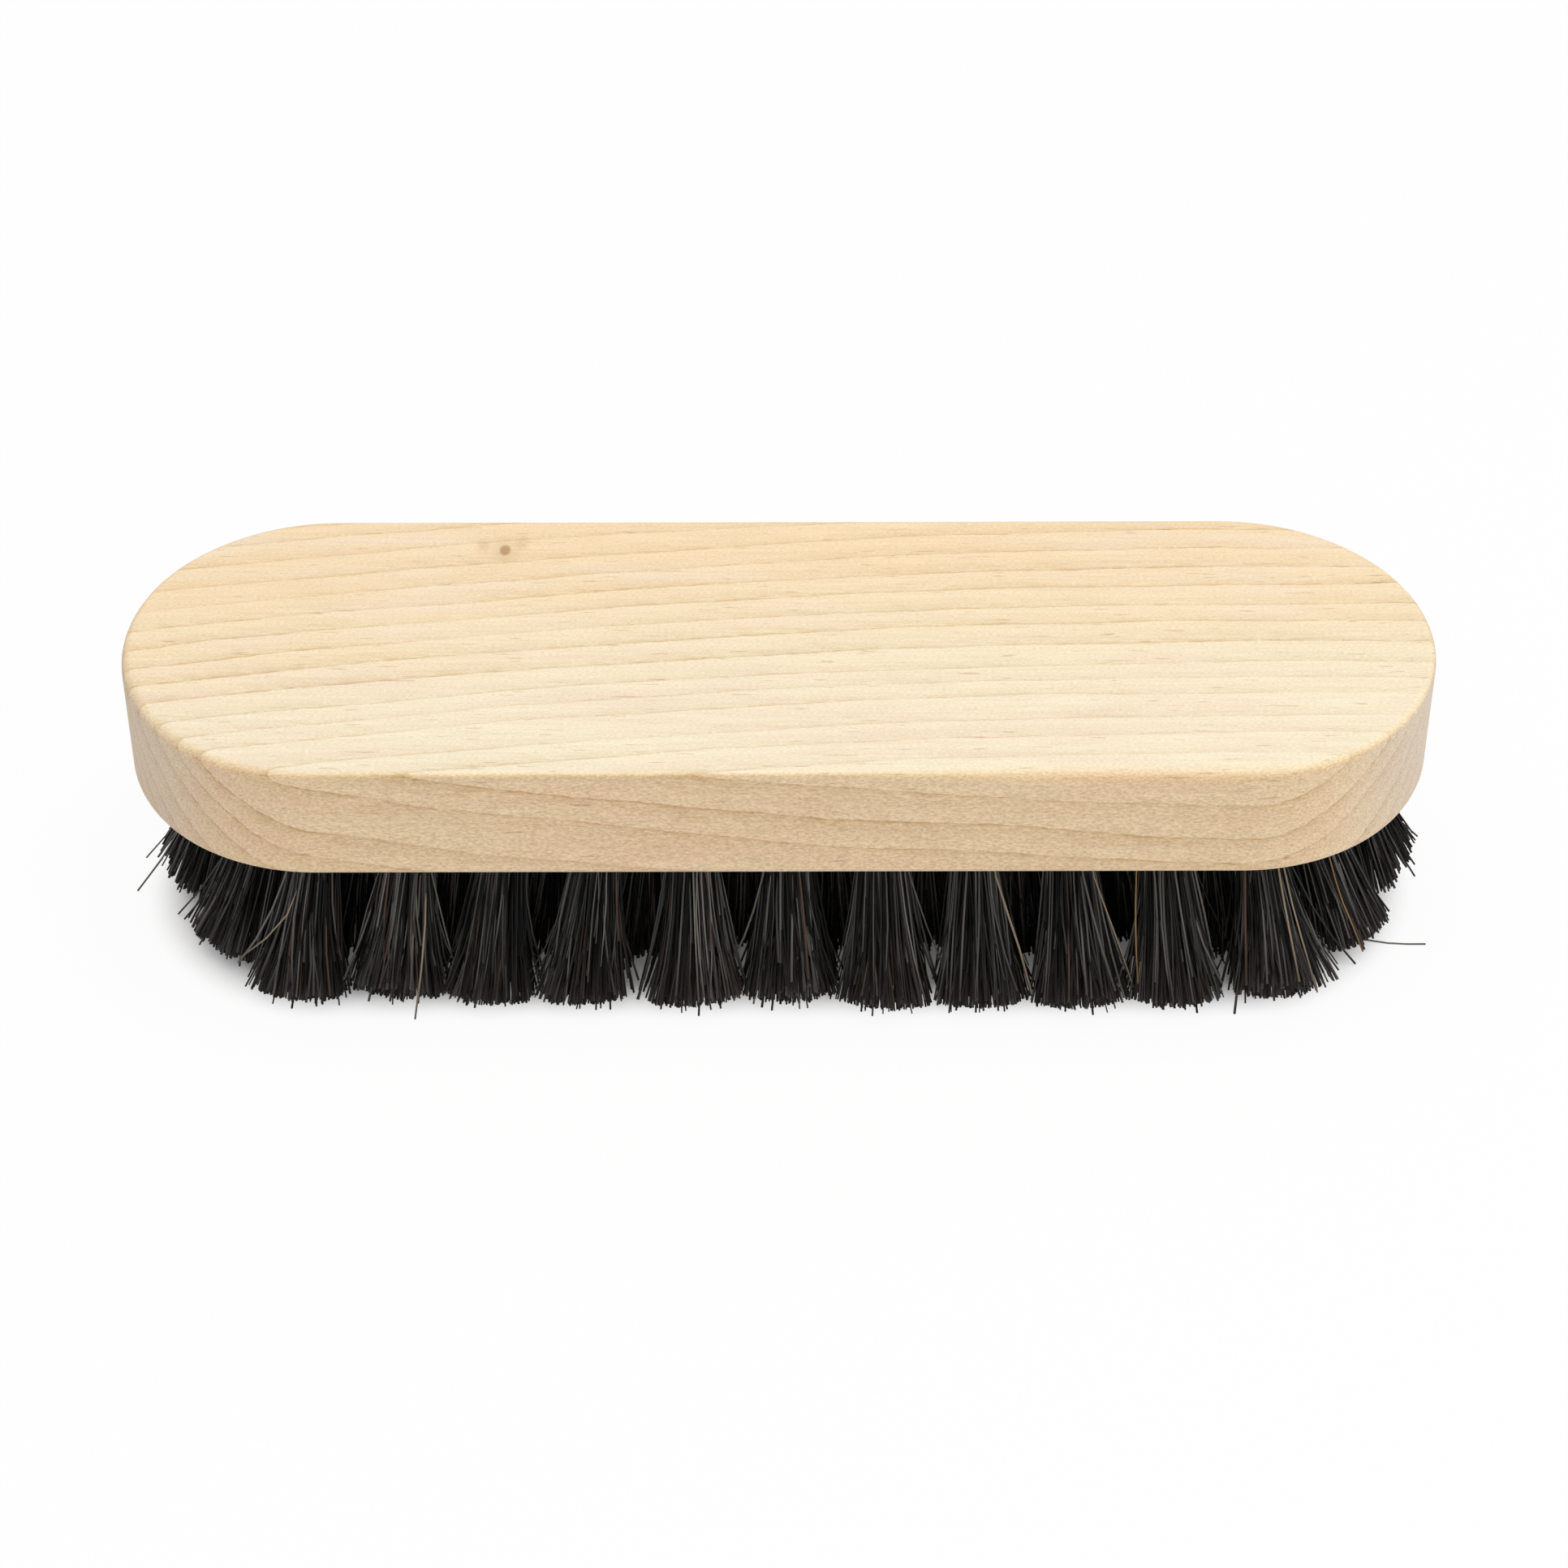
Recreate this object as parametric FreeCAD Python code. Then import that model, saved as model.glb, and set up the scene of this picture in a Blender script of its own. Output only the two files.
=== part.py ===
import FreeCAD, Part
import math
import os

# Shoe shine brush: a one-piece wooden block with rounded ends, drilled from below in staggered rows.
# Every hole holds one tuft of horsehair, folded over the crown of a wire staple whose legs grip the wood.
# Millimetres. The hair tips stand on z = 0, the block lies along X and the origin is under its centre.

# Wooden block
block_length = 171.5
block_width = 52.6
block_thickness = 17.0
top_edge_round = 1.3
bottom_edge_round = 0.8

# Rows of holes, front to back, staggered so that each row has one hole less than the row towards the middle
row_count = 5
middle_row_holes = 13
left_margin = 13.5    # left end of the block to the centre of the nearest hole
right_margin = 11.5    # the same at the right end: the rows sit a little right of the middle
side_margin = 7.8    # block side to the centre of the outer rows
fan_height = 375.0    # all hole axes meet this far above the lower face, so the tufts fan out

# Drilled holes
hole_diameter = 7.0
wood_over_hole = 7.0    # from the end of a hole's straight wall to the top face
drill_point = 2.0    # cone at the end of the hole

# Hair tufts
hair_length = 25.0    # hair that shows below the block
hair_clearance = 0.15    # between a bundle and its hole, on the radius
tip_gap = 0.3    # between the trimmed ends of neighbouring tufts

# Wire staples
wire_diameter = 0.8
wire_clearance = 0.05    # round the wire in hair and wood, on the radius
leg_wall_gap = 0.1    # between a leg and the side of its hole
bend_radius = 1.0    # at the centre of the wire, where crown and legs meet
fold_height = 2.5    # from the crown's centre to the end of the hole's straight wall
leg_grip = 3.5    # leg driven into the wood, with its point
leg_point = 1.2

# Worked out from the sizes above
hole_radius = hole_diameter / 2
wire_radius = wire_diameter / 2
bundle_radius = hole_radius - hair_clearance
hole_depth = block_thickness - wood_over_hole
block_bottom = hair_length
block_top = block_bottom + block_thickness
middle_row = row_count // 2
hole_pitch = (block_length - left_margin - right_margin) / (middle_row_holes - 1)
rows_middle = (left_margin - right_margin) / 2
row_pitch = (block_width - 2 * side_margin) / (row_count - 1)
fan_centre = FreeCAD.Vector(0, 0, block_bottom + fan_height)
row_letters = "abcdefghij"

# The trimmed ends spread with the fan, and may grow until the nearest neighbours are a tip gap apart.
reach = math.hypot(block_length / 2 - min(left_margin, right_margin), block_width / 2 - side_margin)
steepest_lean = math.atan(reach / fan_height)
nearest_holes = min(hole_pitch, 2 * row_pitch, math.hypot(hole_pitch / 2, row_pitch))
tip_spacing = nearest_holes * (1 + hair_length / fan_height)
tip_radius = (tip_spacing - tip_gap) / 2 * math.cos(steepest_lean) ** 2


def hole_places():
    """Every hole as its row, its number in the row, the row's count and its mouth on the lower face."""
    places = []
    for row in range(row_count):
        count = middle_row_holes - abs(row - middle_row)
        y = (row - (row_count - 1) / 2) * row_pitch
        for number in range(count):
            x = rows_middle + (number - (count - 1) / 2) * hole_pitch
            mouth = FreeCAD.Vector(x, y, block_bottom)
            places.append((row, number, count, mouth))
    return places


def hole_placement(mouth):
    """Puts a piece made at the origin, with +Z going into the wood, into the hole at this mouth."""
    into_wood = (fan_centre - mouth).normalize()
    along_brush = FreeCAD.Vector(1, 0, 0)
    sideways = into_wood.cross(along_brush)
    turn = FreeCAD.Rotation(along_brush, sideways, into_wood, "ZXY")
    return FreeCAD.Placement(mouth, turn)


def revolved(outline):
    """A solid of revolution about Z from (radius, height) points that start and end on the axis."""
    points = [FreeCAD.Vector(radius, 0, height) for radius, height in outline]
    face = Part.Face(Part.makePolygon(points + points[:1]))
    return face.revolve(FreeCAD.Vector(0, 0, 0), FreeCAD.Vector(0, 0, 1), 360)


def staple(radius):
    """A U of round wire: its crown crosses the hole and its pointed legs go up into the wood."""
    leg_x = hole_radius - leg_wall_gap - wire_radius
    crown_x = leg_x - bend_radius
    crown_z = hole_depth - fold_height
    shoulder_z = crown_z + bend_radius
    straight_end = hole_depth + leg_grip - leg_point
    corner = bend_radius * (1 - math.sqrt(0.5))

    def at(x, z):
        return FreeCAD.Vector(x, 0, z)

    def bend(side):
        start = at(side * leg_x, shoulder_z)
        middle = at(side * (leg_x - corner), crown_z + corner)
        return Part.Arc(start, middle, at(side * crown_x, crown_z)).toShape()

    path = Part.Wire([
        Part.LineSegment(at(-leg_x, straight_end), at(-leg_x, shoulder_z)).toShape(),
        bend(-1),
        Part.LineSegment(at(-crown_x, crown_z), at(crown_x, crown_z)).toShape(),
        bend(1),
        Part.LineSegment(at(leg_x, shoulder_z), at(leg_x, straight_end)).toShape(),
    ])
    section = Part.Wire(Part.makeCircle(radius, at(-leg_x, straight_end), FreeCAD.Vector(0, 0, 1)))
    wire = path.makePipeShell([section], True, False)
    up = FreeCAD.Vector(0, 0, 1)
    points = [Part.makeCone(radius, 0, leg_point, at(x, straight_end), up) for x in (-leg_x, leg_x)]
    return wire.fuse(points).removeSplitter()


def drill():
    """The space that the drill leaves, with its point, run out past the block's lower face."""
    run_out = hole_diameter
    return revolved([
        (0, -run_out),
        (hole_radius, -run_out),
        (hole_radius, hole_depth),
        (0, hole_depth + drill_point),
    ])


def bundle():
    """A tuft before trimming: a tight bundle in its hole that spreads below the lower face."""
    spread_start = hole_radius * math.tan(steepest_lean)
    spread_rate = (tip_radius - bundle_radius) / (hair_length - spread_start)
    spare = 2 * tip_radius * math.tan(steepest_lean)
    raw_length = hair_length / math.cos(steepest_lean) + spare
    raw_radius = bundle_radius + spread_rate * (raw_length - spread_start)
    fold = drill_point * bundle_radius / hole_radius
    outline = [
        (0, -raw_length),
        (raw_radius, -raw_length),
        (bundle_radius, -spread_start),
        (bundle_radius, hole_depth),
        (0, hole_depth + fold),
    ]
    return revolved(outline).cut(staple(wire_radius + wire_clearance))


def block(mouths):
    """The wooden block, with its edges rounded, then drilled and pierced by the staple legs."""
    end_radius = block_width / 2
    straight = block_length / 2 - end_radius

    def at(x, y):
        return FreeCAD.Vector(x, y, block_bottom)

    def side(way):
        start = at(-way * straight, -way * end_radius)
        return Part.LineSegment(start, at(way * straight, -way * end_radius)).toShape()

    def end(way):
        start = at(way * straight, -way * end_radius)
        middle = at(way * block_length / 2, 0)
        return Part.Arc(start, middle, at(way * straight, way * end_radius)).toShape()

    outline = Part.Wire([side(1), end(1), side(-1), end(-1)])
    body = Part.Face(outline).extrude(FreeCAD.Vector(0, 0, block_thickness))

    def rim(height):
        return [edge for edge in body.Edges if all(abs(v.Z - height) < 1e-6 for v in edge.Vertexes)]

    body = body.makeFillet(top_edge_round, rim(block_top))
    body = body.makeFillet(bottom_edge_round, rim(block_bottom))
    tool = drill().fuse(staple(wire_radius + wire_clearance))
    tools = [placed(tool, mouth) for mouth in mouths]
    return body.cut(tools)


def placed(shape, mouth):
    """A copy of a shape in the hole at this mouth."""
    copy = shape.copy()
    copy.Placement = hole_placement(mouth).multiply(copy.Placement)
    return copy


def trimmed(tuft):
    """The tuft cut off level at z = 0."""
    below = Part.makeBox(2 * block_length, 2 * block_length, hair_length)
    below.translate(FreeCAD.Vector(-block_length, -block_length, -hair_length))
    return tuft.cut(below)


def tuft_name(row, number, count):
    """Tufts are numbered along their row. The pair at the ends of the middle row shares one node."""
    if row == middle_row and number in (0, count - 1):
        return "end_tufts"
    return f"tuft_{row_letters[row]}{number + 1:02d}"


def write(name, solids):
    """One STEP file for a node, with its solids kept apart."""
    shape = solids[0] if len(solids) == 1 else Part.makeCompound(solids)
    assert shape.isValid() and all(solid.isClosed() for solid in shape.Solids), name
    shape.exportStep(f"parts/{name}.step")


def main():
    os.makedirs("parts", exist_ok=True)
    places = hole_places()
    mouths = [mouth for row, number, count, mouth in places]
    write("block", block(mouths).Solids)

    one_staple = staple(wire_radius)
    write("staples", [solid for mouth in mouths for solid in placed(one_staple, mouth).Solids])

    one_bundle = bundle()
    nodes = {}
    for row, number, count, mouth in places:
        tuft = trimmed(placed(one_bundle, mouth))
        nodes.setdefault(tuft_name(row, number, count), []).extend(tuft.Solids)
    for name, solids in nodes.items():
        write(name, solids)

    print(f"{len(places)} holes, {hole_pitch:.2f} mm apart along a row, rows {row_pitch:.2f} mm apart")
    print(f"holes {hole_depth:.2f} mm deep, trimmed ends {2 * tip_radius:.2f} mm across")
    print(f"steepest lean {math.degrees(steepest_lean):.1f} degrees")
    print(f"block from {block_bottom:.1f} to {block_top:.1f} mm above the tips")


main()
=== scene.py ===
import math
import bmesh
import bpy
import numpy as np
from mathutils import Matrix, Vector


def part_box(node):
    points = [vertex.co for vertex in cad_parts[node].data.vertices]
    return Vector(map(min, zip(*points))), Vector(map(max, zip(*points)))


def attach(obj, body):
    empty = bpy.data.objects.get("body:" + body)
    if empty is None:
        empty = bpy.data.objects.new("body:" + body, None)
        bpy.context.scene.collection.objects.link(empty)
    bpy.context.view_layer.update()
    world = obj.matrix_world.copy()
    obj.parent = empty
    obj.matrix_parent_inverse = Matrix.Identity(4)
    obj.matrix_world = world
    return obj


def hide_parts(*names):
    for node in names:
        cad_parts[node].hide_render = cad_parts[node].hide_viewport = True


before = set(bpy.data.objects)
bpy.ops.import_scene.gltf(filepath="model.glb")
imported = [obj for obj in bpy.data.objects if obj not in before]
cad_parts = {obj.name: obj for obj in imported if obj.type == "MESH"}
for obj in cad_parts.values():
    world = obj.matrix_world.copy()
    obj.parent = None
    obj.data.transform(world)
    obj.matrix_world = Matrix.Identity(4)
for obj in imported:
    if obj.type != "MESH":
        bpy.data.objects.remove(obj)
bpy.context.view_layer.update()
mm = 0.001
blockLow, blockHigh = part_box("block")

# the brush stands on its tips, with five staggered rows of holes, front to back
layout = {
    "halfLength": (blockHigh.x - blockLow.x) / 2,
    "halfWidth": (blockHigh.y - blockLow.y) / 2,
    "lowerFace": blockLow.z,
    "upperFace": blockHigh.z,
    "rowLetters": "abcde",
    "rowHoles": (11, 12, 13, 12, 11),
    "holePitch": 146.5 / 12 * mm,
    "rowsMiddle": 1 * mm,    # the rows sit a little right of the block's middle
    "rowPitch": 9.25 * mm,
    "fanHeight": 375 * mm,    # every hole axis points at a place this far above the lower face
    "holeRadius": 3.5 * mm,
    "holeDepth": 10 * mm,
    "drillPoint": 2 * mm,
}
fanPoint = Vector((0, 0, layout["lowerFace"] + layout["fanHeight"]))
straight = layout["halfLength"] - layout["halfWidth"]    # from the middle to where an end starts to round


def holePlaces():
    rows = layout["rowHoles"]
    for row, count in enumerate(rows):
        y = (row - (len(rows) - 1) / 2) * layout["rowPitch"]
        for number in range(count):
            x = layout["rowsMiddle"] + (number - (count - 1) / 2) * layout["holePitch"]
            yield f"{layout['rowLetters'][row]}{number + 1:02d}", Vector((x, y, layout["lowerFace"]))


# way out to a place from the line between the centres of the round ends
def wayOut(spot):
    return spot.xy - Vector((max(-straight, min(straight, spot.x)), 0))


# the tufts at both ends of the middle row share a node
def tuftNode(label):
    return "end_tufts" if label in ("c01", "c13") else "tuft_" + label


def finishPiece(name, mesh, material, slot, *nodes):
    piece = bpy.data.objects.new(name, mesh)
    bpy.context.collection.objects.link(piece)
    mesh.materials.append(material)
    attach(piece, "root")
    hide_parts(*nodes)


# short hands for node trees
def put(tree, kind, sockets=None, **settings):
    node = tree.nodes.new("ShaderNode" + kind)
    for key, value in settings.items():
        setattr(node, key, value)
    for key, value in (sockets or {}).items():
        if isinstance(value, bpy.types.NodeSocket):
            tree.links.new(value, node.inputs[key])
        else:
            node.inputs[key].default_value = value
    return node


def calc(tree, operation, *values, clamp=False):
    sockets = dict(enumerate(values))
    return put(tree, "Math", sockets, operation=operation, use_clamp=clamp).outputs[0]


def distance(tree, first, second):
    squares = [calc(tree, "POWER", value, 2.0) for value in (first, second)]
    return calc(tree, "SQRT", calc(tree, "ADD", *squares))


def step(tree, value, low, high, toLow=0.0, toHigh=1.0):
    sockets = {"Value": value, "From Min": low, "From Max": high, "To Min": toLow, "To Max": toHigh}
    return put(tree, "MapRange", sockets, interpolation_type="SMOOTHSTEP").outputs["Result"]


# colours use the mix node's sockets 6 and 7, and its output 2
def blendColour(tree, amount, first, second, way="MIX"):
    node = put(tree, "Mix", data_type="RGBA", blend_type=way)
    for index, value in ((0, amount), (6, first), (7, second)):
        if isinstance(value, bpy.types.NodeSocket):
            tree.links.new(value, node.inputs[index])
        else:
            node.inputs[index].default_value = value if index == 0 else (*value, 1)
    return node.outputs[2]


def rampOf(tree, value, stops):
    ramp = put(tree, "ValToRGB", {0: value})
    spots = ramp.color_ramp.elements
    for index, (position, colour) in enumerate(stops):
        spot = spots[index] if index < 2 else spots.new(position)    # a new ramp has two
        spot.position, spot.color = position, (*colour, 1)
    return ramp.outputs["Color"]


def stretchedNoise(tree, place, stretch, detail=2.0, roughness=0.5, shift=(0, 0, 0)):
    turned = put(tree, "Mapping", {"Vector": place, "Location": shift, "Scale": stretch})
    sockets = {"Vector": turned.outputs[0], "Scale": 1.0, "Detail": detail, "Roughness": roughness}
    return put(tree, "TexNoise", sockets).outputs["Fac"]


def newFinish(name):
    material = bpy.data.materials.new(name)
    material.use_nodes = True
    tree = material.node_tree
    return material, tree, tree.nodes["Principled BSDF"]


# pale hardwood as a solid: growth rings lean back through the block and drift along it
# noise is given by its stretch along x, y and z, per mm, then detail, roughness and shift
# a step is given by where it starts and ends, then by the values there unless they are 0 and 1
wood = {
    "cream": (0.905, 0.790, 0.578),
    "honey": (0.895, 0.698, 0.447),    # towards the back and the left
    "blush": (0.900, 0.735, 0.550),
    "ringTint": (0.71, 0.60, 0.42),
    "fleckTint": (0.55, 0.42, 0.28),
    # painted shade: the sides are drawn darker and warmer than the upper face
    "paintedSideShade": (0.92, 0.79, 0.68),
    "endTint": (0.88, 1.0, 1.24),    # open ends of the fibres are greyer
    "rimTint": (1.0, 0.93, 0.80),
    # painted highlight: the rounded lower rim is drawn lighter and bluer, standing for white floor light
    # caught on it
    "paintedLowerRimHighlight": (0.97, 1.04, 1.16),
    # faces by the way they turn, up or to the ends
    "upperStep": (0.35, 0.97),
    "endStep": (0.35, 0.95),
    "rimStart": (0.05, 0.45),
    "rimEnd": (0.999, 0.90),
    "rimShare": 0.65,
    "lowerRimStart": (-0.12, -0.5),
    "lowerRimEnd": (-0.999, -0.9),
    # growth rings
    "ringSpacing": 3.1,    # mm across the rings
    "ringLean": (0.81, -0.58),    # share of y and z in the way across the rings
    "drift": 0.08,    # mm across for each mm along the block
    "driftBend": 0.0005,
    "waves": (    # stretch, and the swing in mm
        ((0.006, 0.03, 0.03), 3.6), ((0.035, 0.14, 0.14), 1.3), ((0.4, 1.5, 1.5), 0.35),
    ),
    "unevenScale": 0.12,
    "unevenWidth": 1.1,    # in rings
    "ringProfile": (    # darkness through one ring: a crisp late line, then a slow fade
        (0.0, 1.0), (0.035, 0.62), (0.12, 0.36), (0.34, 0.20),
        (0.62, 0.06), (0.80, 0.0), (0.972, 0.0), (1.0, 0.85),
    ),
    "ringStrength": (0.45, 0.6),    # swing from ring to ring, and the least
    "patches": ((0.022, 0.09, 0.09),),
    "patchStep": (0.32, 0.66, 0.55, 1.0),
    "dashes": ((0.4, 1.7, 1.7), 2, 0.6, (5, 1, 2)),
    "dashStep": (0.30, 0.64, 0.40, 1.05),
    "sideLines": 1.5,    # strength of the rings on the sides, and what the upper face and warm wood add
    "upperLines": -0.5,
    "warmLines": 0.4,
    "endRings": 2.6,    # fine lines within a ring that show on the ends, where the rings themselves fade
    "endLines": 0.3,
    "endFade": 0.5,
    # broad changes of colour
    "broad": ((0.010, 0.06, 0.06), 2, 0.5, (1, 4, 9)),
    "broadSwing": 26.0,
    "warmStep": (-40.0, -6.0),    # mm across the rings
    "blotch": ((0.035, 0.20, 0.20), 2, 0.5, (7, 7, 3)),
    "blotchStep": (0.48, 0.70, 0.0, 0.7),
    # fibres, coarser on the sides than above
    "streak": ((0.09, 1.5, 1.5), 4, 0.6),
    "streakSwing": 0.22,
    "fibre": ((2.0, 5.0, 5.0), 3, 0.65, (3, 7, 1)),
    "fibreSwing": 0.50,
    "sideGrit": 2.2,
    "upperSmooth": 1.1,
    "fleck": ((0.22, 2.4, 2.4), 1, 0.4, (11, 2, 5)),
    "fleckStep": (0.69, 0.77),
    "fleckShare": 0.45,
    "shadePowers": (1.15, 1.4),    # darker fibres lose more green and blue
    # knot and smudges in mm, with the radii where a stain is full and gone, and its strength
    "knot": (-36.7, 19.8),
    "knotHalo": (0.6, 2.6, 0.22),
    "knotHeart": (0.45, 0.95, 0.85),
    "knotSmudges": ((-34.5, 21.4), (-39.6, 20.7)),
    "smudge": (0.2, 1.5, 0.28),
    "knotSquash": 0.65,    # stains are longer from front to back
    # surface
    "roughness": (0.22, 0.44),    # swing with the streaks, and the least
    "fibreHeight": 0.6,
    "streakHeight": 0.5,
    "lateDepth": 0.3,
    "bump": 0.16,
    "bumpDistance": 0.1 * mm,
}


def makeWood():
    material, tree, shader = newFinish("paleHardwood")
    source = put(tree, "TexCoord")
    inMm = {"Vector": source.outputs["Object"], "Scale": (1 / mm,) * 3}
    place = put(tree, "Mapping", inMm).outputs[0]
    x, y, z = put(tree, "SeparateXYZ", {0: place}).outputs
    faceX, _, faceZ = put(tree, "SeparateXYZ", {0: source.outputs["Normal"]}).outputs

    def plus(first, second):
        return calc(tree, "ADD", first, second)

    def minus(first, second):
        return calc(tree, "SUBTRACT", first, second)

    def times(first, second):
        return calc(tree, "MULTIPLY", first, second)

    def timesPlus(value, size, more, clamp=False):
        return calc(tree, "MULTIPLY_ADD", value, size, more, clamp=clamp)

    def swing(value, size):
        return timesPlus(value, size, -size / 2)

    def noise(name):
        return stretchedNoise(tree, place, *wood[name])

    def stepped(value, name):
        return step(tree, value, *wood[name])

    def stain(colour, amount, name):
        return blendColour(tree, amount, colour, blendColour(tree, 1.0, colour, wood[name], "MULTIPLY"))

    # way across the rings, in mm, bent by slow and quick waves
    drift = times(timesPlus(x, wood["driftBend"], -wood["drift"]), x)
    across = times(plus(y, drift), wood["ringLean"][0])
    across = timesPlus(z, wood["ringLean"][1], across)
    for stretch, size in wood["waves"]:
        across = plus(across, swing(stretchedNoise(tree, place, stretch), size))

    # rings of uneven width and strength, broken up along their length
    sockets = {"W": across, "Scale": wood["unevenScale"], "Detail": 1.0}
    uneven = put(tree, "TexNoise", sockets, noise_dimensions="1D").outputs["Fac"]
    rings = timesPlus(across, 1 / wood["ringSpacing"], times(uneven, wood["unevenWidth"]))
    ringStops = [(position, (level,) * 3) for position, level in wood["ringProfile"]]
    late = rampOf(tree, calc(tree, "FRACT", rings), ringStops)
    own = put(tree, "TexWhiteNoise", {"W": calc(tree, "FLOOR", rings)}, noise_dimensions="1D")
    late = times(late, timesPlus(own.outputs["Value"], *wood["ringStrength"]))
    late = times(late, stepped(noise("patches"), "patchStep"))
    late = times(late, stepped(noise("dashes"), "dashStep"))

    # masks for the upper face, the sides, the ends and the rounded rims, by the way each one faces
    upper = stepped(faceZ, "upperStep")
    ends = stepped(calc(tree, "ABSOLUTE", faceX), "endStep")
    rim = times(stepped(faceZ, "rimStart"), stepped(faceZ, "rimEnd"))
    # where the painted highlight of floor light goes, on the rounded lower rim
    paintedHighlightMask = times(stepped(faceZ, "lowerRimStart"), stepped(faceZ, "lowerRimEnd"))

    warm = stepped(plus(across, swing(noise("broad"), wood["broadSwing"])), "warmStep")
    colour = blendColour(tree, warm, wood["cream"], wood["honey"])
    colour = blendColour(tree, stepped(noise("blotch"), "blotchStep"), colour, wood["blush"])
    strength = timesPlus(upper, wood["upperLines"], wood["sideLines"])
    late = times(late, timesPlus(warm, wood["warmLines"], strength))
    fine = rampOf(tree, calc(tree, "FRACT", times(rings, wood["endRings"])), ringStops)
    late = times(late, timesPlus(ends, -wood["endFade"], 1.0))
    late = timesPlus(times(fine, ends), wood["endLines"], late, clamp=True)
    colour = stain(colour, late, "ringTint")

    # fibres along the block
    streak = noise("streak")
    fibre = noise("fibre")
    fleck = stepped(noise("fleck"), "fleckStep")
    coarse = minus(wood["sideGrit"], times(upper, wood["upperSmooth"]))
    grit = plus(times(swing(fibre, wood["fibreSwing"]), coarse), 1.0)
    shade = times(plus(swing(streak, wood["streakSwing"]), 1.0), grit)
    green, blue = [calc(tree, "POWER", shade, power) for power in wood["shadePowers"]]
    tint = put(tree, "CombineColor", {0: shade, 1: green, 2: blue})
    colour = blendColour(tree, 1.0, colour, tint.outputs[0], "MULTIPLY")
    colour = stain(colour, times(fleck, wood["fleckShare"]), "fleckTint")
    # painted shade on the sides, darker and warmer than the upper face
    colour = stain(colour, minus(1.0, upper), "paintedSideShade")
    colour = stain(colour, ends, "endTint")
    colour = stain(colour, times(rim, wood["rimShare"]), "rimTint")
    # painted highlight of floor light on the lower rim
    colour = stain(colour, paintedHighlightMask, "paintedLowerRimHighlight")

    # a pin knot near the back edge of the upper face, with two faint smudges beside it
    def nearTo(spot, full, gone, most):
        away = distance(tree, minus(x, spot[0]), times(minus(y, spot[1]), wood["knotSquash"]))
        return times(step(tree, away, gone, full, 0.0, most), upper)

    colour = stain(colour, nearTo(wood["knot"], *wood["knotHalo"]), "fleckTint")
    for spot in wood["knotSmudges"]:
        colour = stain(colour, nearTo(spot, *wood["smudge"]), "fleckTint")
    colour = stain(colour, nearTo(wood["knot"], *wood["knotHeart"]), "fleckTint")
    tree.links.new(colour, shader.inputs["Base Color"])

    tree.links.new(timesPlus(streak, *wood["roughness"]), shader.inputs["Roughness"])
    height = timesPlus(fibre, wood["fibreHeight"], times(streak, wood["streakHeight"]))
    height = minus(height, timesPlus(late, wood["lateDepth"], fleck))
    sockets = {"Height": height, "Strength": wood["bump"], "Distance": wood["bumpDistance"]}
    tree.links.new(put(tree, "Bump", sockets).outputs[0], shader.inputs["Normal"])
    return material


block = {
    "endSegments": 128,    # round both ends together
    "sideCuts": 23,    # along each straight side
    "topRound": 1.3 * mm,
    "topSegments": 6,
    "bottomRound": 0.8 * mm,
    "bottomSegments": 3,
    "edgeSupport": 0.5 * mm,
    # share of the upper edge's rounding that hand sanding left, by mm along the front edge, and at the back
    "frontSanding": (
        (-86, 1.2), (-78, 1.5), (-68, 1.1), (-55, 0.6), (5, 0.5), (22, 0.9), (36, 1.4), (60, 1.4), (72, 0.8),
    ),
    "backSanding": 0.45,
    "holeSegments": 24,
    "cellInset": 3 * mm,    # cells of the lower face have their middle further in than this
    "slack": 0.01 * mm,    # places this close count as level
}


def onlyVerts(geom):
    return [g for g in geom if isinstance(g, bmesh.types.BMVert)]


def sandUpperEdge(bm):
    depth = block["topRound"] + block["edgeSupport"] + block["slack"]
    for v in bm.verts:
        away = wayOut(v.co)
        inset = layout["halfWidth"] - away.length
        drop = layout["upperFace"] - v.co.z
        if inset > depth or drop > depth:
            continue
        front = np.interp(v.co.x / mm, *zip(*block["frontSanding"]))
        toBack = max(0, min(1, v.co.y / layout["halfWidth"] + 0.5))
        soft = float(front + (block["backSanding"] - front) * toBack)
        side = v.co.xy + away.normalized() * (inset - inset * soft)
        v.co = (side.x, side.y, layout["upperFace"] - drop * soft)


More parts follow.
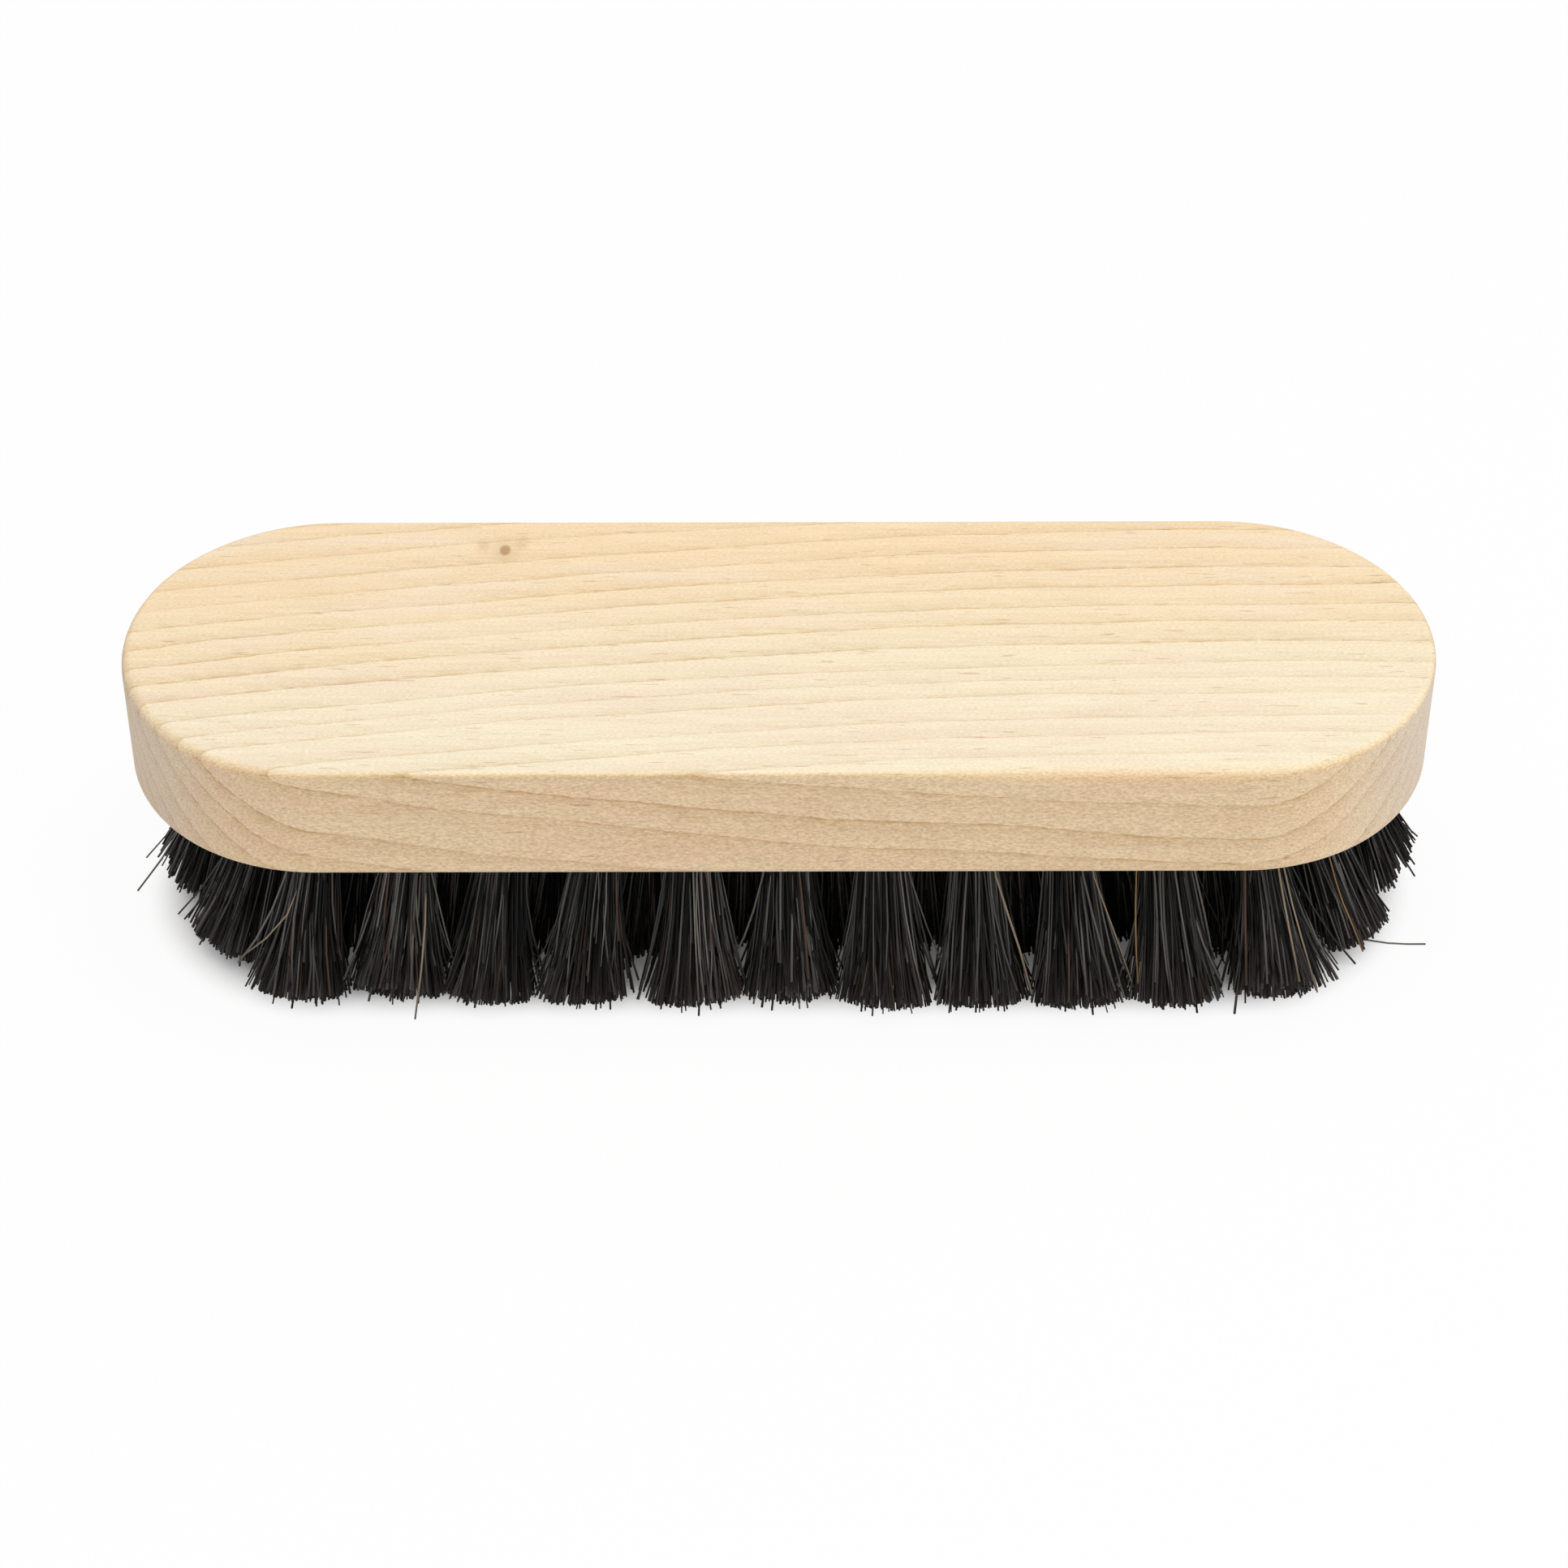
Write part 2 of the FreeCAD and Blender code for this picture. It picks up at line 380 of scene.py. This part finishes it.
def makeBlock(material):
    thick = layout["upperFace"] - layout["lowerFace"]
    bm = bmesh.new()
    halfStep = Matrix.Rotation(math.pi / block["endSegments"], 4, "Z")
    bmesh.ops.create_circle(bm, cap_ends=False, segments=block["endSegments"], radius=layout["halfWidth"],
                            matrix=halfStep)
    for side in (-1, 1):
        half = [v for v in bm.verts if v.co.x * side > 0]
        bmesh.ops.translate(bm, verts=half, vec=(side * straight, 0, 0))
    sides = [e for e in bm.edges if e.calc_length() > straight]
    bmesh.ops.subdivide_edges(bm, edges=sides, cuts=block["sideCuts"])
    bmesh.ops.contextual_create(bm, geom=bm.edges[:])
    bmesh.ops.translate(bm, verts=bm.verts, vec=(0, 0, layout["lowerFace"]))
    grown = bmesh.ops.extrude_face_region(bm, geom=bm.faces[:])["geom"]
    bmesh.ops.translate(bm, verts=onlyVerts(grown), vec=(0, 0, thick))
    bmesh.ops.recalc_face_normals(bm, faces=bm.faces)

    def rimEdges(height):
        return [e for e in bm.edges if all(abs(v.co.z - height) < block["slack"] for v in e.verts)]

    # rounded edges, held by lines on the faces beside them
    for height, offset, segments in (
        (layout["upperFace"], block["topRound"], block["topSegments"]),
        (layout["lowerFace"], block["bottomRound"], block["bottomSegments"]),
    ):
        bmesh.ops.bevel(bm, geom=rimEdges(height), offset=offset, segments=segments, profile=0.5,
                        affect="EDGES", material=-1, offset_type="OFFSET")
        flat = [f for f in bm.faces
                if len(f.verts) > 4 and abs(f.calc_center_median().z - height) < block["slack"]]
        bmesh.ops.inset_region(bm, faces=flat, thickness=block["edgeSupport"])
    for height in (layout["upperFace"] - block["topRound"] - block["edgeSupport"],
                   layout["lowerFace"] + block["bottomRound"] + block["edgeSupport"]):
        everything = bm.verts[:] + bm.edges[:] + bm.faces[:]
        bmesh.ops.bisect_plane(bm, geom=everything, plane_co=(0, 0, height), plane_no=(0, 0, 1))
    sandUpperEdge(bm)

    # the lower face is cut into a cell for every hole, and each cell is filled again round the hole's mouth
    def cellRound(x, y):
        for f in bm.faces:
            xs, ys, zs = zip(*(v.co for v in f.verts))
            inset = layout["halfWidth"] - wayOut(f.calc_center_bounds()).length
            flat = max(zs) < layout["lowerFace"] + block["slack"]
            if flat and inset > block["cellInset"] and min(xs) < x < max(xs) and min(ys) < y < max(ys):
                return f

    def cutCell(cell, place, way):
        bmesh.ops.bisect_plane(bm, geom=[cell, *cell.edges, *cell.verts], plane_co=place, plane_no=way)

    rowCount = len(layout["rowHoles"])
    for row in range(1, rowCount):
        y = (row - rowCount / 2) * layout["rowPitch"]
        cutCell(cellRound(0, y + layout["rowPitch"] / 2), (0, y, 0), (0, 1, 0))
    for _, mouth in holePlaces():
        cutCell(cellRound(mouth.x, mouth.y), (mouth.x + layout["holePitch"] / 2, 0, 0), (1, 0, 0))
    mouths = []
    for _, mouth in holePlaces():
        cell = cellRound(mouth.x, mouth.y)
        border = cell.edges[:]
        bmesh.ops.delete(bm, geom=[cell], context="FACES_ONLY")
        into = (fanPoint - mouth).normalized()
        turn = into.to_track_quat("Z", "X").to_matrix().to_4x4()
        ring = bmesh.ops.create_circle(bm, cap_ends=False, segments=block["holeSegments"],
                                       radius=layout["holeRadius"],
                                       matrix=Matrix.Translation(mouth) @ turn)["verts"]
        for v in ring:
            v.co += into * ((mouth.z - v.co.z) / into.z)    # slid along the hole onto the lower face
        edges = list(dict.fromkeys(e for v in ring for e in v.link_edges))
        bmesh.ops.triangle_fill(bm, use_beauty=True, use_dissolve=False, edges=border + edges,
                                normal=(0, 0, -1))
        mouths.append((into, edges))
    for into, edges in mouths:
        wall = bmesh.ops.extrude_edge_only(bm, edges=edges)["geom"]
        deep = onlyVerts(wall)
        bmesh.ops.translate(bm, verts=deep, vec=into * layout["holeDepth"])
        centre = sum((v.co for v in deep), Vector()) / len(deep)
        wallEnd = [g for g in wall if isinstance(g, bmesh.types.BMEdge)]
        tip = onlyVerts(bmesh.ops.extrude_edge_only(bm, edges=wallEnd)["geom"])
        bmesh.ops.pointmerge(bm, verts=tip, merge_co=centre + into * layout["drillPoint"])
    assert all(e.is_manifold for e in bm.edges), "the block is open"
    bmesh.ops.recalc_face_normals(bm, faces=bm.faces)
    for f in bm.faces:
        f.smooth = True
    for _, edges in mouths:
        for e in edges:
            e.smooth = False    # crisp mouths
    mesh = bpy.data.meshes.new("woodenBlock")
    bm.to_mesh(mesh)
    bm.free()
    finishPiece("woodenBlock", mesh, material, "wood", "block")


hair = {
    "seed": 20,
    "perTuft": 470,
    "points": (0.0, 0.22, 0.48, 0.74, 1.0),    # along the free length, after the one in the hole
    "thickness": 0.28 * mm,
    "thicknessSwing": 0.28,
    "inHole": 7.4 * mm,
    "rootRadius": 3.1 * mm,
    "tipRadius": 6.7 * mm,
    "mixed": 0.13,    # how far a hair leaves its place in the bundle, as a share of the radius
    "locks": 13,    # hairs gather into this many locks in a tuft
    "lockPull": 0.07,
    "sway": 0.35 * mm,
    "flare": 0.75,    # hairs stay closer at first and spread more towards the tip
    "looseShare": 0.05,
    "looseReach": 1.6 * mm,
    "pushSwing": 0.7,    # mm that the tips of a tuft lie off its axis
    "lean": 3.8 * mm,    # tips of the outermost tufts stand out this far, and the others less
    "outerSlant": 0.63,    # and are trimmed higher on the outer side
    "outermost": 11 * mm,    # past this way out, tufts are outermost
    "domeHeight": 1.2 * mm,    # outer hairs of a tuft end this much higher than its middle ones
    "domeSwing": (0.8, 1.1),
    "domeSlant": 0.5 * mm,
    "trimSwing": 0.3 * mm,
    "fullLength": 0.08,    # share of the hairs that the trim left longer
    "fullLift": (0.5, 1),    # how much of the dome's height they keep
    "fullReach": 6.0 * mm,    # and how far from the tuft's middle they end at most
    "shortShare": 0.25,    # hairs that were short of the trim
    "shortBy": 7.5 * mm,
    "strayRoot": 0.9,    # place of a stray hair in its hole, as a share of the root radius
    "strayKnee": (0.42, 0.42, 0.62),    # where it bends, as a share of the way to its tip
    "strayLow": 2 * mm,
    "strayFar": 18 * mm,    # hairs that reach past this bend lower
    "strayRise": (0.1, 0.45),    # height of the bend for far and near ones
    # tones, from black to straw; the grey hairs are partly their own tone and partly painted sheen, as the
    # gloss is kept low
    "tones": 16,
    "greyAndSheenShare": 0.42,
    "greyAndSheenTone": (6.8, 1.8),    # middle and spread
    "darkTone": 1.3,
    "lockTone": (-1.2, 1.6),    # change from lock to lock
    "mostTones": 10,    # only named hairs are paler
    "russetShare": 0.035,
    "russetTone": 12,
    "black": (0.0020, 0.0019, 0.0018),
    "charcoal": (0.0180, 0.0174, 0.0170),
    "slate": (0.1150, 0.1100, 0.1050),
    "ash": (0.1900, 0.1770, 0.1600),
    "russet": (0.0950, 0.0560, 0.0400),
    "tan": (0.3300, 0.2550, 0.1750),
    "straw": (0.3200, 0.1900, 0.0750),
    "toneStops": (
        (0.0, "black"), (0.25, "charcoal"), (0.5, "slate"), (0.68, "ash"),
        (0.80, "russet"), (0.87, "tan"), (0.98, "straw"),
    ),
    # partly the brown of the cut ends and partly painted shade on the lower hairs
    "tipShadeAndBrown": (0.0400, 0.0330, 0.0280),
    "endSpan": (0.66, 1.0),    # share of the length where a hair grows rougher and its colour is mixed towards a dark brown at the tip, partly brown ends and partly painted shade
    "tipShadeShare": 0.5,
    "endRough": 0.25,
    "toneRough": (0.0, 0.4, 0.70, 0.22),    # pale hairs have more sheen
    "specular": 0.16,
    "mapMargins": (0.04, 0.02),    # left free round a column of the bake map
}
# how far the tips of some tufts are pushed along and across the brush, in mm
tipPush = {
    "a01": (0.0, 0.3), "a02": (0.0, 0.2), "a03": (-0.6, -0.1), "a04": (-1.0, -1.1),
    "a05": (0.9, -1.4), "a06": (0.5, -0.8), "a07": (-0.2, -2.0), "a08": (-0.3, -1.9),
    "a09": (-0.1, -2.0), "a10": (-0.5, -0.9), "a11": (0.0, 0.0),
    "b01": (-1.1, -1.2), "b12": (1.6, 0.6), "c01": (1.2, 1.5), "c13": (-0.6, 1.7),
}
# tufts that have spread more than the rest
tipSpread = {"a11": 1.16}
# single hairs that stand away: tuft, where the tip ends in mm and the hair's tone
strays = (
    ("c01", (-86.6, 1.0, 3.6), 0.67), ("c01", (-86.5, 0.0, 1.0), 0.40), ("c01", (-87.8, -2.0, 0.2), 0.60),
    ("b01", (-81.7, -6.8, 0.3), 0.40), ("a01", (-71.3, -23.6, 7.0), 0.67), ("a01", (-58.4, -24.6, 0.2), 0.50),
    ("a02", (-41.4, -24.6, 0.2), 0.60), ("a05", (-6.0, -23.8, 0.2), 0.67), ("a06", (-6.0, -24.0, 8.2), 0.67),
    ("a07", (24.3, -24.8, 0.2), 0.67), ("a08", (37.0, -16.4, 0.3), 0.27), ("a10", (61.6, -17.0, 1.5), 0.40),
    ("a11", (77.2, -17.0, 0.2), 0.30), ("a11", (60.2, -26.6, 0.2), 0.40), ("b12", (79.2, -12.0, 0.4), 0.40),
    ("c13", (87.0, 1.0, 7.0), 0.40), ("c13", (87.0, 0.4, 2.4), 0.27), ("c13", (87.2, 0.2, 0.4), 0.33),
)
# fair hairs on the outside of their tufts, and a dark one that has come out and lies on the floor:
# tuft, tone and points in mm
apart = (
    ("a01", 0.87, ((-60.8, -18.6, 32.3), (-61.2, -19.2, 25.0), (-62.2, -21.8, 20.0), (-64.0, -24.6, 16.6),
                   (-66.8, -26.6, 14.2), (-70.2, -27.9, 12.0))),
    ("a02", 0.87, ((-46.6, -18.6, 32.3), (-46.2, -19.2, 25.0), (-46.0, -21.2, 19.5), (-46.2, -24.2, 14.6),
                   (-46.8, -27.5, 9.4), (-47.8, -30.4, 3.2))),
    ("a08", 0.87, ((27.2, -19.6, 32.3), (27.5, -20.9, 25.0), (28.1, -22.7, 21.3), (29.7, -24.5, 16.5),
                   (31.3, -26.3, 11.9), (33.1, -28.6, 5.8))),
    ("a09", 0.87, ((39.6, -19.5, 32.3), (40.1, -20.7, 25.0), (40.9, -22.4, 20.8), (42.7, -24.0, 16.1),
                   (44.5, -25.6, 11.4), (46.2, -27.2, 6.7))),
    ("a10", 1.00, ((47.2, -19.2, 32.3), (46.7, -20.7, 25.0), (46.3, -22.6, 21.7), (46.3, -24.4, 17.3),
                   (46.5, -26.4, 12.4), (46.9, -28.3, 7.4))),
    ("a11", 0.87, ((64.2, -19.5, 32.3), (64.8, -20.8, 25.0), (65.5, -22.5, 22.1), (66.6, -24.2, 18.0),
                   (68.0, -26.1, 13.6), (70.4, -29.1, 6.5))),
    ("a11", 0.87, ((63.8, -19.6, 32.3), (64.2, -21.0, 25.0), (65.0, -23.1, 20.8), (65.8, -24.6, 17.2),
                   (66.9, -26.5, 12.5), (68.0, -28.5, 7.9))),
    ("b12", 1.00, ((69.4, -10.2, 32.3), (70.0, -10.9, 25.0), (73.4, -16.3, 14.6), (74.4, -18.0, 12.2),
                   (75.7, -19.2, 9.5), (77.3, -20.8, 6.0))),
    ("b12", 0.67, ((66.0, -11.4, 0.9), (72.5, -11.2, 0.2), (79.4, -12.4, 0.2), (82.0, -13.0, 0.2),
                   (84.6, -13.2, 0.2), (87.1, -13.2, 0.2))),
)


def makeHairFinish():
    material, tree, shader = newFinish("horsehair")
    tone = put(tree, "Attribute", attribute_name="hairTone").outputs["Fac"]
    along = put(tree, "Attribute", attribute_name="hairAlong").outputs["Fac"]
    colour = rampOf(tree, tone, [(position, hair[name]) for position, name in hair["toneStops"]])
    # painted shade towards the tips, mixed with their brown
    tipShade = step(tree, along, *hair["endSpan"], 0.0, hair["tipShadeShare"])
    tree.links.new(blendColour(tree, tipShade, colour, hair["tipShadeAndBrown"]), shader.inputs["Base Color"])
    endRough = step(tree, along, *hair["endSpan"], 0.0, hair["endRough"])
    rough = calc(tree, "ADD", step(tree, tone, *hair["toneRough"]), endRough)
    tree.links.new(rough, shader.inputs["Roughness"])
    shader.inputs["Specular IOR Level"].default_value = hair["specular"]
    return material


# lines of points down every hair of one tuft, and the hairs' tones
def tuftLines(rng, label, mouth):
    count = hair["perTuft"]
    into = (fanPoint - mouth).normalized()
    out = np.array(-into)
    across = np.array(Vector((1, 0, 0)) - into * into.x)
    across /= np.linalg.norm(across)
    other = np.cross(out, across)
    outer = np.array((*wayOut(mouth), 0))
    outBy = np.linalg.norm(outer)
    outer /= outBy if outBy > hair["outermost"] else 2 * layout["rowPitch"]
    ownPush = tipPush.get(label, rng.normal(0, hair["pushSwing"], 2))
    push = np.array((*ownPush, 0)) * mm + outer * hair["lean"]
    foot = np.array(mouth) + out * (layout["lowerFace"] / -out[2]) + push

    # each hair keeps its place in the bundle, spread out and gathered in locks at the tip
    share = np.sqrt(rng.random(count))
    turn = rng.random(count) * 2 * math.pi
    disc = np.stack((np.cos(turn), np.sin(turn)), 1) * share[:, None]
    lockTurn = rng.random(hair["locks"]) * 2 * math.pi
    lockAt = np.stack((np.cos(lockTurn), np.sin(lockTurn)), 1) * np.sqrt(rng.random(hair["locks"]))[:, None]
    nearest = np.linalg.norm(disc[:, None] - lockAt[None], axis=2).argmin(1)
    tip = disc + (lockAt[nearest] - disc) * hair["lockPull"] + rng.normal(0, hair["mixed"], (count, 2))
    tip = tip * hair["tipRadius"] * tipSpread.get(label, 1)
    loose = rng.random(count) < hair["looseShare"]
    tip[loose] += rng.normal(0, hair["looseReach"], (loose.sum(), 2))

    # blunt, domed trim
    rim = np.linalg.norm(tip, axis=1) / hair["tipRadius"]
    lift = hair["domeHeight"] * rim ** 2 * rng.uniform(*hair["domeSwing"], count)
    lift = lift + disc @ rng.normal(0, hair["domeSlant"], 2) + np.abs(rng.normal(0, hair["trimSwing"], count))
    lift = lift + hair["outerSlant"] * np.clip(tip @ np.stack((across, other)) @ outer, 0, None)
    full = rng.random(count) < hair["fullLength"]
    lift[full] *= rng.uniform(*hair["fullLift"], full.sum())
    tip[full] *= np.minimum(1, hair["fullReach"] / np.linalg.norm(tip[full], axis=1))[:, None]
    short = rng.random(count) < hair["shortShare"]
    lift[short] += rng.random(short.sum()) * hair["shortBy"]
    lift = np.clip(lift, 0, None)
    sway = rng.normal(0, hair["sway"], (count, 2))

    root = disc * hair["rootRadius"]
    start = np.array(mouth) + root[:, :1] * across + root[:, 1:] * other
    end = foot + tip[:, :1] * across + tip[:, 1:] * other
    end[:, 2] = hair["thickness"] / 2
    kept = 1 - lift / layout["lowerFace"]    # share of the way down that the trim left
    spread = tip - root
    lines = [start - out * hair["inHole"]]
    for t in hair["points"]:
        bow = sway * math.sin(math.pi * t) - spread * hair["flare"] * t * (1 - t)
        down = start + (end - start) * (t * kept)[:, None]
        lines.append(down + bow[:, :1] * across + bow[:, 1:] * other)
    lockTone = rng.uniform(*hair["lockTone"], hair["locks"])
    # grey hairs: partly their own tone and partly painted sheen in place of gloss
    light = rng.random(count) < hair["greyAndSheenShare"]
    levels = np.where(light, rng.normal(*hair["greyAndSheenTone"], count), rng.exponential(hair["darkTone"], count))
    levels = np.clip(levels + lockTone[nearest], 0, hair["mostTones"]).astype(int)
    levels[rng.random(count) < hair["russetShare"]] = hair["russetTone"]
    return np.stack(lines, 1), levels


# a hair that leaves its tuft in one easy bend
def strayLine(mouth, tip):
    tip = np.array(tip) * mm
    away = tip - np.array(mouth)
    reach = np.hypot(away[0], away[1])
    sideways = np.array((away[0], away[1], 0)) / reach
    start = np.array(mouth) + sideways * hair["rootRadius"] * hair["strayRoot"]
    low = min(tip[2], hair["strayLow"])
    farRise, nearRise = hair["strayRise"]
    rise = farRise if reach > hair["strayFar"] else nearRise
    knee = start + (tip - start) * np.array(hair["strayKnee"])
    knee[2] = min(knee[2], low + (start[2] - low) * rise)
    ts = np.array(hair["points"])[:, None]
    free = (1 - ts) ** 2 * start + 2 * ts * (1 - ts) * knee + ts ** 2 * tip
    inside = start + (fanPoint - mouth).normalized() * hair["inHole"]
    return np.vstack((np.array(inside), free))


def hairMesh(name, lines, levels, rng):
    curve = bpy.data.curves.new(name, "CURVE")
    curve.dimensions = "3D"
    curve.bevel_depth = hair["thickness"] / 2
    curve.bevel_resolution = 0
    thick = 1 + rng.uniform(-1, 1, len(lines)) * hair["thicknessSwing"]
    for line, radius in zip(lines, thick):
        spline = curve.splines.new("POLY")
        spline.points.add(len(line) - 1)
        spline.points.foreach_set("co", np.c_[line, np.ones(len(line))].ravel())
        spline.points.foreach_set("radius", np.full(len(line), radius))
    holder = bpy.data.objects.new(name, curve)
    bpy.context.collection.objects.link(holder)
    bpy.context.view_layer.update()
    mesh = bpy.data.meshes.new_from_object(holder.evaluated_get(bpy.context.evaluated_depsgraph_get()))
    bpy.data.objects.remove(holder)
    bpy.data.curves.remove(curve)

    rings = lines.shape[1]
    around = len(mesh.vertices) // (len(lines) * rings)
    tone = np.repeat(levels / (hair["tones"] - 1), rings * around).astype(np.float32)
    along = np.tile(np.repeat(np.linspace(0, 1, rings), around), len(lines)).astype(np.float32)
    mesh.attributes.new("hairTone", "FLOAT", "POINT").data.foreach_set("value", tone)
    mesh.attributes.new("hairAlong", "FLOAT", "POINT").data.foreach_set("value", along)
    bm = bmesh.new()
    bm.from_mesh(mesh)
    bmesh.ops.holes_fill(bm, edges=[e for e in bm.edges if e.is_boundary], sides=around)    # cut ends
    bm.to_mesh(mesh)
    bm.free()
    mesh.shade_smooth()

    # flat map for baking: one column for each tone, up along the hair
    corner = np.zeros(len(mesh.loops), int)
    mesh.loops.foreach_get("vertex_index", corner)
    side = (corner % around).reshape(-1, around).astype(float)
    seam = (side == 0) & (np.isin(side, (0, around - 1)).all(1))[:, None]
    side[seam] = around
    left, low = hair["mapMargins"]
    column = np.repeat(levels, rings * around)[corner] + left + (1 - 2 * left) * side.ravel() / around
    flat = np.stack((column / hair["tones"], low + (1 - 2 * low) * along[corner]), 1)
    mesh.uv_layers.new(name="OFBake").data.foreach_set("uv", flat.ravel().astype(np.float32))
    return mesh


def makeTufts(material):
    rng = np.random.default_rng(hair["seed"])
    made = {}
    for label, mouth in holePlaces():
        lines, levels = tuftLines(rng, label, mouth)
        single = [(strayLine(mouth, tip), tone) for tuft, tip, tone in strays if tuft == label]
        single += [(np.array(points) * mm, tone) for tuft, tone, points in apart if tuft == label]
        if single:
            lines = np.concatenate((lines, np.stack([line for line, tone in single])))
            levels = np.concatenate((levels, [round(tone * (hair["tones"] - 1)) for line, tone in single]))
        made.setdefault(tuftNode(label), []).append((lines, levels))
    for node, parts in made.items():
        lines = np.concatenate([lines for lines, levels in parts])
        levels = np.concatenate([levels for lines, levels in parts])
        name = "hair_" + node.replace("tuft_", "")
        finishPiece(name, hairMesh(name, lines, levels, rng), material, "horsehair", node)


# the staples keep their own meshes
wire = {
    "dark": (0.50, 0.50, 0.49),
    "bright": (0.66, 0.66, 0.64),
    "grain": ((900, 900, 900), 3),    # stretch per metre, and detail
    "roughness": (0.25, 0.25),    # swing with the grain, and the least
}


def makeStapleFinish():
    material, tree, shader = newFinish("drawnWire")
    place = put(tree, "TexCoord").outputs["Object"]
    grain = stretchedNoise(tree, place, *wire["grain"])
    tree.links.new(blendColour(tree, grain, wire["dark"], wire["bright"]), shader.inputs["Base Color"])
    tree.links.new(calc(tree, "MULTIPLY_ADD", grain, *wire["roughness"]), shader.inputs["Roughness"])
    shader.inputs["Metallic"].default_value = 1.0
    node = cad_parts["staples"]
    node.data.materials.clear()
    node.data.materials.append(material)


# white sweep that keeps the shadow close to the brush
studio = {
    "floorSize": 4.0,
    "floorWhite": (0.93, 0.93, 0.93),
    "shownNear": 0.08,    # share of plain white that the floor shows under the brush
    "shownFar": 0.93,
    "shadowSpan": (-7 * mm, 1.5 * mm),    # from the block's outline, as the camera sees it
    "mirrorSpan": (0 * mm, 40 * mm),    # and as gloss sees it
    "worldLevel": 0.48,
    "topBox": ((0.05, -0.05, 1.0), (0.9, 0.7), 5.6),    # place, size, watts
    "sideBox": ((0.9, -0.55, 0.5), (0.6, 0.6), 2.4),
    "lightAim": Vector((0, 0, 0.03)),
    "target": Vector((0.66, 0.0, 17.55)) * mm,
    "distance": 552.27 * mm,
    "elevation": 40.904,
    "yaw": -0.047,
    "roll": -0.092,
    "lensPixels": 5060.7,    # focal length for a picture this wide
    "pictureWidth": 1932,
    "sensor": 36,
    "clipStart": 0.01,
}


def seenRays(tree):
    path = put(tree, "LightPath")
    glossy, through = path.outputs["Is Glossy Ray"], path.outputs["Is Transmission Ray"]
    return path.outputs["Is Camera Ray"], calc(tree, "ADD", glossy, through, clamp=True)


def makeFloor():
    bm = bmesh.new()
    bmesh.ops.create_grid(bm, x_segments=1, y_segments=1, size=studio["floorSize"] / 2)
    mesh = bpy.data.meshes.new("floor")
    bm.to_mesh(mesh)
    bm.free()
    floor = bpy.data.objects.new("floor", mesh)
    bpy.context.collection.objects.link(floor)
    material = bpy.data.materials.new("sweepPaper")
    material.use_nodes = True
    tree = material.node_tree
    tree.nodes.clear()
    x, y, _ = put(tree, "SeparateXYZ", {0: put(tree, "TexCoord").outputs["Object"]}).outputs
    pastSide = calc(tree, "MAXIMUM", calc(tree, "SUBTRACT", calc(tree, "ABSOLUTE", x), straight), 0.0)
    away = distance(tree, pastSide, calc(tree, "ABSOLUTE", y))
    away = calc(tree, "SUBTRACT", away, layout["halfWidth"])
    seen, mirrored = seenRays(tree)
    seenShown = step(tree, away, *studio["shadowSpan"], studio["shownNear"], studio["shownFar"])
    mirrorShown = step(tree, away, *studio["mirrorSpan"], 0.0, studio["shownFar"])
    shown = calc(tree, "MULTIPLY_ADD", mirrored, mirrorShown, calc(tree, "MULTIPLY", seen, seenShown))
    paper = put(tree, "BsdfDiffuse", {"Color": (*studio["floorWhite"], 1)}).outputs[0]
    glow = put(tree, "Emission", {"Color": (1, 1, 1, 1), "Strength": 1.0}).outputs[0]
    mixed = put(tree, "MixShader", {0: shown, 1: paper, 2: glow})
    put(tree, "OutputMaterial", {0: mixed.outputs[0]})
    mesh.materials.append(material)


def softBox(name, place, size, power):
    light = bpy.data.lights.new(name, "AREA")
    light.shape = "RECTANGLE"
    light.size, light.size_y = size
    light.energy = power
    box = bpy.data.objects.new(name, light)
    bpy.context.collection.objects.link(box)
    box.location = place
    box.rotation_euler = (studio["lightAim"] - Vector(place)).to_track_quat("-Z", "Y").to_euler()


def makeStudio():
    world = bpy.data.worlds.new("studioAir")
    bpy.context.scene.world = world
    world.use_nodes = True
    tree = world.node_tree
    air = tree.nodes["Background"]
    air.inputs["Color"].default_value = (1, 1, 1, 1)
    seen = calc(tree, "ADD", *seenRays(tree), clamp=True)
    level = put(tree, "MapRange", {"Value": seen, "To Min": studio["worldLevel"], "To Max": 1.0})
    tree.links.new(level.outputs["Result"], air.inputs["Strength"])
    softBox("topBox", *studio["topBox"])
    softBox("sideBox", *studio["sideBox"])

    turn = math.radians(studio["elevation"])
    yaw = math.radians(studio["yaw"])
    back = Vector((math.sin(yaw) * math.cos(turn), -math.cos(yaw) * math.cos(turn), math.sin(turn)))
    camera = bpy.data.objects.new("photoView", bpy.data.cameras.new("photoView"))
    bpy.context.collection.objects.link(camera)
    camera.data.lens = studio["lensPixels"] / studio["pictureWidth"] * studio["sensor"]
    camera.data.sensor_width = studio["sensor"]
    camera.data.clip_start = studio["clipStart"]
    right = Vector((0, 0, 1)).cross(back).normalized()
    up = back.cross(right)
    aim = Matrix((right, up, back)).transposed() @ Matrix.Rotation(math.radians(studio["roll"]), 3, "Z")
    camera.matrix_world = Matrix.Translation(studio["target"] + back * studio["distance"]) @ aim.to_4x4()
    bpy.context.scene.camera = camera
    bpy.context.scene.view_settings.view_transform = "Standard"


makeBlock(makeWood())
print("block done")
makeTufts(makeHairFinish())
print("tufts done")
makeStapleFinish()
makeFloor()
makeStudio()
print("studio done")
